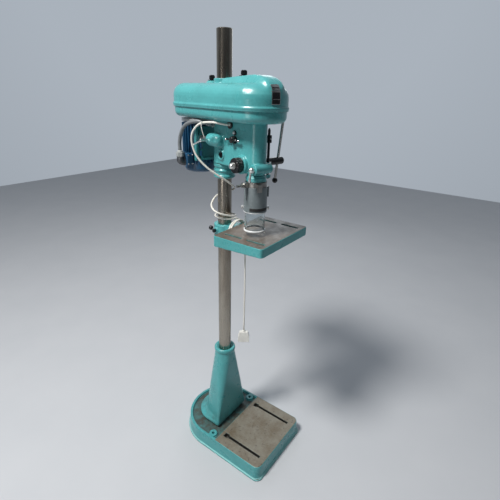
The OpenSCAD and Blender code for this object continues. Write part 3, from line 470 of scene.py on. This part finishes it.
def smooth_path(points, steps):
    """Catmull-Rom curve through the points."""
    p = [Vector(q) for q in points]
    last = len(p) - 1
    made = []
    for k in range(last):
        a, b, c, d = p[max(k - 1, 0)], p[k], p[k + 1], p[min(k + 2, last)]
        for s in range(steps):
            u = s / steps
            square, cube = 2 * a - 5 * b + 4 * c - d, 3 * b - a - 3 * c + d
            made.append(0.5 * (2 * b + (c - a) * u + square * u**2 + cube * u**3))
    return made + [p[-1]]


def bevel_all(bm, offset, profile):
    bmesh.ops.bevel(
        bm, geom=bm.edges[:], offset=offset, segments=3, profile=profile,
        affect="EDGES", clamp_overlap=True,
    )


def slab(size, bevel, matrix):
    """Mesh of a block about its centre with rounded edges."""
    bm = bmesh.new()
    bmesh.ops.create_cube(bm, size=1)
    bmesh.ops.scale(bm, vec=size, verts=bm.verts)
    bevel_all(bm, bevel, 0.6)
    return finished(bm, matrix)


def modified(mesh, *steps):
    """The mesh after modifiers, each a (type, settings) pair."""
    work = bpy.data.objects.new("work", mesh)
    bpy.context.scene.collection.objects.link(work)
    for k, (kind, settings) in enumerate(steps):
        modifier = work.modifiers.new("m%d" % k, kind)
        for key, value in settings.items():
            setattr(modifier, key, value)
    graph = bpy.context.evaluated_depsgraph_get()
    graph.update()
    made = bpy.data.meshes.new_from_object(work.evaluated_get(graph))
    bpy.data.objects.remove(work)
    return made


def cast(node, material, voxel, rounds, keep=0.35, turned=True):
    """A CAD node as a casting: the same solid with its corners and inner angles rounded."""
    mesh = nodes[node].data.copy()
    body = nodes[node]["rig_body"]
    bm = bmesh.new()
    bm.from_mesh(mesh)
    bmesh.ops.remove_doubles(bm, verts=bm.verts, dist=0.01 * MM)
    bm.to_mesh(mesh)
    bm.free()
    square = HEAD.inverted() if turned else Matrix.Identity(4)
    mesh.transform(square)
    mesh = modified(
        mesh,
        ("REMESH", {"mode": "VOXEL", "voxel_size": voxel}),
        ("SMOOTH", {"factor": 0.6, "iterations": rounds}),
        ("DECIMATE", {"ratio": keep}),
    )
    mesh.transform(square.inverted())
    return add(node + ".cast", mesh, material, body, node)


def soften(piece, chosen, rounds):
    """Rounds off the part of a casting where chosen(place in the head's frame) is true."""
    bm = bmesh.new()
    bm.from_mesh(piece.data)
    unturn = HEAD.inverted()
    picked = [v for v in bm.verts if chosen(unturn @ v.co)]
    for _ in range(rounds):
        bmesh.ops.smooth_vert(
            bm, verts=picked, factor=0.5, use_axis_x=True, use_axis_y=True, use_axis_z=True
        )
    bm.to_mesh(piece.data)
    bm.free()


def keep(material, *names):
    """CAD nodes whose own shape shows, with a finished material."""
    for name in names:
        for slot in nodes[name].material_slots:
            slot.material = material


# ---- the mains lead ----

LEAD = [
    (-50, -76, 1428), (-76, -65, 1430), (-98, -28, 1435), (-113, 14, 1429), (-119, 44, 1400),
    (-118, 50, 1362), (-109, 36, 1316), (-84, 6, 1274), (-45, -28, 1238), (-4, -40, 1208),
    (32, -22, 1185), (32, 20, 1167), (0, 42, 1152), (-40, 33, 1128), (-57, 5, 1112),
    (-46, -24, 1100), (-12, -40, 1089), (28, -34, 1080), (43, 4, 1078), (16, 36, 1080),
    (-23, 29, 1082), (-38, -1, 1080), (-24, -36, 1077), (16, -47, 1074), (48, -52, 1042),
    (46, -57, 990), (12, -58, 956), (-32, -59, 964), (-52, -59, 1012), (-34, -58, 1058),
    (6, -58, 1070), (37, -60, 1050), (56, -63, 1006), (28, -68, 962), (-14, -69, 955),
    (-47, -67, 984), (-45, -66, 1042), (-12, -65, 1069), (24, -66, 1068), (46, -68, 1034),
    (47, -69, 980), (46, -72, 760), (46, -72, 545),
]
LEAD_D = 7 * MM
LEAD_STEPS = 6


lead_path = [p * MM for p in smooth_path(LEAD, LEAD_STEPS)]
lead = add("mains_lead", tube(lead_path, LEAD_D / 2), pvc, None, "mains_cord")
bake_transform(lead)
cast("plug", white, 1.1 * MM, 4, keep=0.5, turned=False)

# ---- castings ----

cast("base_plate", teal_base, 2.3 * MM, 3, turned=False)
cast("pedestal", teal_foot, 2.4 * MM, 10, turned=False)
cast("table", teal_table, 2.0 * MM, 4, turned=False)
cast("table_collar", teal, 1.5 * MM, 6, turned=False)
cast("head_casting", teal, 1.6 * MM, 10)
cast("head_collar", teal, 1.3 * MM, 4)
cast("belt_guard_tray", teal, 2.2 * MM, 3)
lid = cast("belt_guard_lid", teal, 1.6 * MM, 8)
cast("depth_stop_ring", teal, 1.2 * MM, 4)
soften(lid, lambda q: q.y < -215 * MM and q.z > 1528 * MM, 60)

# ---- CAD nodes whose own shape shows ----

keep(steel, "column")
keep(bright, "pedestal_fixings", "slide_bars", "sleeve_bearings", "drive_sleeve", "motor_rotor")
keep(bright, "feed_shaft", "spindle", "quill_bearings", "return_spring")
keep(dull_chrome, "chuck_body", "chuck_sleeve", "chuck_jaw_1", "chuck_jaw_2", "chuck_jaw_3")
keep(dull_chrome, "quill", "feed_lever")
keep(nickel, "tension_lock_lever", "guard_screws")
keep(dark_steel, "table_clamp_lever", "head_clamp_bolt", "depth_nuts")
keep(black, "feed_hub", "switch_body", "lid_knob_front", "lid_knob_rear", "lever_balls", "spring_housing")
keep(black, "motor_fan")
keep(black_rubber, "cable_grommet", "v_belt")
keep(blue, "motor_frame", "motor_fan_cover")
keep(motor_teal, "motor_plate")
keep(guard_paint, "guard_shell")
keep(clamp_metal, "guard_clamp")
keep(pale, "conduit_gland")
keep(alloy, "motor_top_cover", "motor_pulley", "spindle_pulley")
keep(acrylic, "guard_tube")

# ---- conduit, and the box and elbow that it ends in ----

CONDUIT = [
    (-103, 150, 1320.6), (-103, 150, 1350), (-102, 140, 1380), (-100, 118, 1408), (-96, 88, 1424),
    (-84, 55, 1431), (-66, 28, 1428), (-55, 14, 1423), (-46.6, 12, 1422),
]
conduit_path = [HEAD @ (p * MM) for p in smooth_path(CONDUIT, 8)]
conduit = add("conduit_hose", tube(conduit_path, 6.8 * MM, 20), grey, None, "conduit")
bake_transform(conduit)


def hexagon(across, h, matrix, chamfer):
    """Hexagon nut or head with its corners turned off, in millimetres."""
    bm = bmesh.new()
    r = across / math.sqrt(3)
    bmesh.ops.create_cone(bm, cap_ends=True, segments=6, radius1=r * MM, radius2=r * MM, depth=h * MM)
    bmesh.ops.translate(bm, vec=(0, 0, h / 2 * MM), verts=bm.verts)
    bevel_all(bm, chamfer * MM, 0.5)
    return finished(bm, matrix)


def turned(name, points, material, matrix, body, node=None, sides=40):
    """Turned piece from (radius, height) in millimetres."""
    mesh = lathe([(r * MM, z * MM) for r, z in points], matrix, sides)
    return add(name, mesh, material, body, node)


box_body = body_of("terminal_box")
BOX = at(-103, 150, 1262)
case = slab(mm(28, 44, 47), 4 * MM, BOX @ shift(31, 2, 23.5))
add("terminal_case", case, blue, box_body, "terminal_box")
cover = slab(mm(24, 4, 41), 1.5 * MM, BOX @ shift(31, -21.5, 23.5))
add("terminal_cover", cover, blue, box_body)
for k, (x, z) in enumerate(((22, 7), (40, 7), (22, 40), (40, 40))):
    head = [(0, 2.4), (1.2, 2.3), (2.3, 1.6), (2.7, 0.6), (2.7, -1), (0, -1)]
    place = BOX @ shift(x, -23.5, z) @ ALONG_Y.inverted()
    turned("terminal_screw_%d" % k, head, bright, place, box_body, sides=20)
elbow_path = [BOX @ mm(*p) for p in ((17, 0, 14), (9, 0, 13.6), (3, 0, 15.5), (0, 0, 20), (0, 0, 26))]
add("conduit_elbow", tube(smooth_path(elbow_path, 5), 13.2 * MM, 28), cast_metal, box_body)
turned("elbow_flange", [
    (0, 0), (15, 0), (15.5, 0.8), (15.5, 3.5), (14.5, 4.4), (0, 4.4)
], cast_metal, BOX @ shift(13.2, 0, 14) @ ALONG_X, box_body)
turned("elbow_ring", [
    (0, 24), (12.4, 24), (13.6, 25), (13.6, 27.5), (12.2, 28.6),
    (12.2, 30), (13.6, 31), (13.6, 33.6), (12.4, 34.6), (0, 34.6)
], cast_metal, BOX, box_body)
add("gland_nut", hexagon(27, 17, BOX @ shift(0, 0, 34.8), 1.6), pale, box_body, smooth=False)
turned("gland_sleeve", [
    (0, 51), (11.2, 51), (11.2, 53), (9.6, 55.5), (8.6, 58.4), (0, 58.4)
], pale, BOX, box_body)

# ---- switch and lamp ----

head_body = body_of("head_casting")
knob_body = body_of("switch_knob")
SWITCH = at(-42, -110, 1381.5, FACING_LEFT)
turned("switch_grip", [
    (0, 12), (7.5, 12), (9.4, 11.2), (10.4, 9.5), (10.4, 6), (11, 4.6), (11, 1.2), (10.2, 0.4), (0, 0.4)
], black, SWITCH, knob_body, "switch_knob")
BAR = Vector((0, 1, 0))
BAR_REACH, BAR_R, TIP_R = 34, 3.4, 5
bar_middle = Vector((-47, -110, 1381.5))
bar_ends = [bar_middle + BAR * reach for reach in (-BAR_REACH, BAR_REACH)]
bar_path = [HEAD @ (p * MM) for p in (bar_ends[0], bar_middle, bar_ends[1])]
add("switch_bar", tube(bar_path, BAR_R * MM, 20), black, knob_body)
for k, (end, way) in enumerate(zip(bar_ends, (-1, 1))):
    aim = (HEAD.to_3x3() @ (BAR * way)).to_track_quat("Z", "Y").to_matrix().to_4x4()
    turned("switch_tip_%d" % k, [
        (0, -2.5), (TIP_R * 0.72, -2.5), (TIP_R * 0.95, -1), (TIP_R, 1),
        (TIP_R * 0.93, 3), (TIP_R * 0.7, 4.8), (TIP_R * 0.38, 5.9), (0, 6.2)
    ], chrome, Matrix.Translation(HEAD @ (end * MM)) @ aim, knob_body, sides=24)

LAMP = at(-36, -110, 1404.5, FACING_LEFT)
turned("lamp_ring", [
    (0, 0), (8, 0), (8, 2.6), (7.2, 3.8), (6, 4.2), (5.8, 2.4), (0, 2.2)
], black, LAMP, head_body, "pilot_lamp")
turned("lamp_lens", [
    (0, 8.6), (1.8, 8.3), (3.6, 7.2), (4.9, 5.3), (5.5, 3.2), (5.6, 1), (0, 1)
], lens, LAMP, head_body, sides=32)

# ---- feed side: cap nut on the spring housing ----

feed_head = HEAD.inverted() @ Vector(joints["feed_spin"]["pos_m"])
NUT = HEAD @ Matrix.Translation((-74.2 * MM, feed_head.y, feed_head.z)) @ FACING_LEFT
nut_body = body_of("shaft_nut")
add("cap_nut", hexagon(20, 6, NUT, 1.0), nickel, nut_body, "shaft_nut", smooth=False)
turned("cap_nut_dome", [
    (0, 14.6), (3.4, 14.1), (6.4, 12.5), (8.6, 9.8), (9.6, 6.6), (9.6, 5.4), (0, 5.4)
], nickel, NUT, nut_body)
turned("cap_washer", [
    (0, 0.1), (11.4, 0.1), (11.8, -0.4), (11.8, -1.4), (0, -1.4)
], bright, NUT, nut_body)

# ---- quill lock lever ----

lock_body = body_of("quill_lock_lever")
LOCK = (-47, -214, 1296)
lock_end = [LOCK[0] - 8, LOCK[1] - 3, LOCK[2] - 34]
turned("lock_lever", [
    (0, 15), (5, 13), (5, 9.6), (7.2, 7.4), (9.2, 4.4),
    (10, 0), (9.2, -4.4), (6.6, -7.7), (3, -9.6), (0, -10)
], nickel, at(LOCK[0] + 2, LOCK[1] - 1, LOCK[2], ALONG_X), lock_body, "quill_lock_lever")
arm = [HEAD @ mm(*[a + (b - a) * u / 8 for a, b in zip(LOCK, lock_end)]) for u in range(9)]
add("lock_arm", tube(arm, lambda u: (3.1 + 1.5 * u) * MM, 20), nickel, lock_body)
turned("lock_tip", [
    (0, -4.6), (3.2, -3.4), (4.7, 0), (3.2, 3.4), (0, 4.6)
], nickel, Matrix.Translation(arm[-1]), lock_body, sides=24)

# ---- depth rod, threaded over most of its length ----

rod_low, rod_high = low("depth_rod"), high("depth_rod")
rod_x, rod_y = (rod_low[0] + rod_high[0]) / 2, (rod_low[1] + rod_high[1]) / 2
PITCH, ROD_R, ROOT_R, PLAIN = 1.5, 5, 4.25, 22
rod_length = (rod_high[2] - rod_low[2]) / MM
thread = [(0, 0), (4.6, 0), (ROD_R, 0.4), (ROD_R, PLAIN)]
for k in range(int((rod_length - PLAIN - 7) / PITCH)):
    thread += [(ROOT_R, PLAIN + 0.4 + k * PITCH), (ROD_R, PLAIN + 0.4 + (k + 0.5) * PITCH)]
thread += [(4.3, rod_length - 6), (2.3, rod_length - 0.6), (0, rod_length)]
rod_foot = Matrix.Translation((rod_x, rod_y, rod_low[2]))
turned("threaded_rod", thread, dark_steel, rod_foot, body_of("depth_rod"), "depth_rod", 24)

# ---- badge, bent to the lid ----

LID_FRONT_Y, LID_BENDS_Z, LID_LEAN = -288, 1535, 0.3


def bent_plate(name, material, x, z, thickness, rise, node=None):
    """Plate wrapped on the front of the lid, from (left, right) and (low, high) in millimetres."""
    bm = bmesh.new()
    across, along = 12, 16
    grid = []
    for i in range(along + 1):
        h = z[0] + (z[1] - z[0]) * i / along
        row = [x[0] + (x[1] - x[0]) * j / across for j in range(across + 1)]
        y = LID_FRONT_Y + max(0.0, h - LID_BENDS_Z) * LID_LEAN
        grid.append([bm.verts.new(HEAD @ mm(v, y, h)) for v in row])
    for a, b in zip(grid, grid[1:]):
        for j in range(across):
            bm.faces.new((a[j], a[j + 1], b[j + 1], b[j]))
    wrap = {"wrap_method": "NEAREST_SURFACEPOINT", "wrap_mode": "ABOVE_SURFACE"}
    mesh = modified(
        finished(bm),
        ("SHRINKWRAP", {"target": lid, "offset": rise, **wrap}),
        ("SMOOTH", {"factor": 0.5, "iterations": 6}),
        ("SOLIDIFY", {"thickness": thickness, "offset": 0.0}),
        ("BEVEL", {"width": 0.2 * MM, "segments": 2, "limit_method": "ANGLE"}),
    )
    return add(name, mesh, material, body_of("belt_guard_lid"), node)


bent_plate("badge_frame", dull_chrome, (-31, 6), (1498, 1542), 1.2 * MM, 0.8 * MM, "badge_plate")
bent_plate("badge_field", black, (-29, 4), (1500, 1536), 0.8 * MM, 1.5 * MM)
bent_plate("badge_line", dull_chrome, (-26, 1), (1513, 1515), 0.5 * MM, 2.0 * MM)
bent_plate("badge_top", dull_chrome, (-31, 6), (1542, 1564), 1.2 * MM, 0.9 * MM)
bent_plate("badge_top_line", black, (-28, 3), (1548, 1552), 0.5 * MM, 1.8 * MM)

# ---- small things on the lead: its relief, and a cable tie with a long tail ----

relief = [p for p in lead_path if (p - lead_path[0]).length < 24 * MM]
add("lead_relief", tube(relief, lambda u: (6.2 - 2.3 * u) * MM, 20), pvc, head_body)

TIE = 17  # point of the lead's path that the tie holds
tie_along = (lead_path[TIE + 1] - lead_path[TIE - 1]).normalized()
tie_way = tie_along.to_track_quat("Z", "Y").to_matrix().to_4x4()
TIE_PLACE = Matrix.Translation(lead_path[TIE])
strap = [(3.4, -1.8), (4.8, -1.8), (4.8, 1.8), (3.4, 1.8), (3.4, -1.8)]
turned("tie_strap", strap, white, TIE_PLACE @ tie_way, head_body, sides=24)
add("tie_head", slab(mm(5, 5, 5), 0.9 * MM, TIE_PLACE @ shift(-5.2, -3, 1.5)), white, head_body)
tail = [lead_path[TIE] + mm(*q) for q in ((-5.5, -3, 1), (-7, -4, -10), (-6, -8, -28), (-3, -14, -48))]
add("tie_tail", tube(smooth_path(tail, 5), lambda u: (1.6 - 0.6 * u) * MM, 10), white, head_body)

# ---- drill guard: trim round its shell, and the tube's ground edge ----

shell_body, tube_body = body_of("guard_shell"), body_of("guard_tube")
shell_low = low("guard_shell")[2]
strip = bmesh.new()
STRIP_R, STRIP_T = 41.9 * MM, 1.0 * MM
strip_turns = [math.radians(a) for a in range(188, 288, 4)]
sections = []
for a in strip_turns:
    ring = []
    for r, z in ((STRIP_R - STRIP_T, 6), (STRIP_R, 6.5), (STRIP_R, 16.5), (STRIP_R - STRIP_T, 17)):
        place = (spindle.x + r * math.cos(a), spindle.y + r * math.sin(a), shell_low + z * MM)
        ring.append(strip.verts.new(place))
    sections.append(ring)
for a, b in zip(sections, sections[1:]):
    for j in range(4):
        strip.faces.new((a[j], a[(j + 1) % 4], b[(j + 1) % 4], b[j]))
strip.faces.new(sections[0])
strip.faces.new(sections[-1])
add("shell_strip", finished(strip), black_rubber, shell_body, smooth=False)

turned("shell_lip", [
    (38.7, 0.4), (41.2, 0.4), (41.4, -0.6), (41, -1.8), (38.7, -1.8), (38.7, 0.4)
], frosted, Matrix.Translation((spindle.x, spindle.y, shell_low)), shell_body, sides=64)

tube_low = low("guard_tube")[2]
tube_r = (high("guard_tube")[0] - low("guard_tube")[0]) / 2 / MM
turned("tube_rim", [
    (tube_r - 4.6, 0), (tube_r - 1, -0.4), (tube_r + 0.4, 1), (tube_r + 0.5, 4.6),
    (tube_r - 0.8, 6.2), (tube_r - 2.6, 6.6), (tube_r - 2.6, 5), (tube_r - 4.6, 4.8), (tube_r - 4.6, 0)
], frosted, Matrix.Translation((spindle.x, spindle.y, tube_low)), tube_body, sides=64)

# ---- floor, light ----


def add_stage():
    bm = bmesh.new()
    bmesh.ops.create_grid(bm, x_segments=1, y_segments=1, size=6)
    f = Finish("floor")
    f.set(Base_Color=f.mix(f.noise(3, 5), (0.53, 0.545, 0.57), (0.59, 0.60, 0.62)), Roughness=0.85)
    floor = add("floor", finished(bm), f.material, None)
    floor.location.z = -0.2 * MM


def area_light(name, place, target, size, power, color=(1, 1, 1)):
    data = bpy.data.lights.new(name, "AREA")
    data.shape = "DISK"
    data.size = size
    data.energy = power
    data.color = color
    light = bpy.data.objects.new(name, data)
    bpy.context.scene.collection.objects.link(light)
    light.location = place
    light.rotation_euler = (Vector(target) - Vector(place)).to_track_quat("-Z", "Y").to_euler()


add_stage()
KEY_WAY = Vector((-0.527, 0.136, 0.839))
area_light("key", Vector((0, 0, 1.1)) + KEY_WAY * 3.4, (0, 0, 1.1), 0.8, 158, (1, 0.985, 0.96))
area_light("strip", (-2.9, 0.1, 1.0), (0, 0, 0.9), 0.9, 8, (1, 0.98, 0.95))
area_light("rim", (2.8, 1.4, 2.2), (0, 0, 1.2), 1.6, 10, (0.95, 0.98, 1))


def add_world():
    """Pale sky, brighter behind the machine."""
    world = bpy.data.worlds.new("studio")
    world.use_nodes = True
    tree = world.node_tree
    place = tree.nodes.new("ShaderNodeTexCoord")
    facing = tree.nodes.new("ShaderNodeVectorMath")
    facing.operation = "DOT_PRODUCT"
    facing.inputs[1].default_value = (0.76, 0.58, 0.29)
    strength = tree.nodes.new("ShaderNodeMapRange")
    for name, value in (("From Min", -0.3), ("From Max", 0.9), ("To Min", 0.09), ("To Max", 0.50)):
        strength.inputs[name].default_value = value
    tree.links.new(place.outputs["Generated"], facing.inputs[0])
    tree.links.new(facing.outputs["Value"], strength.inputs["Value"])
    tree.links.new(strength.outputs[0], tree.nodes["Background"].inputs["Strength"])
    tree.nodes["Background"].inputs["Color"].default_value = (0.80, 0.89, 1.0, 1)
    bpy.context.scene.world = world


add_world()
bpy.context.scene.view_settings.view_transform = "Standard"
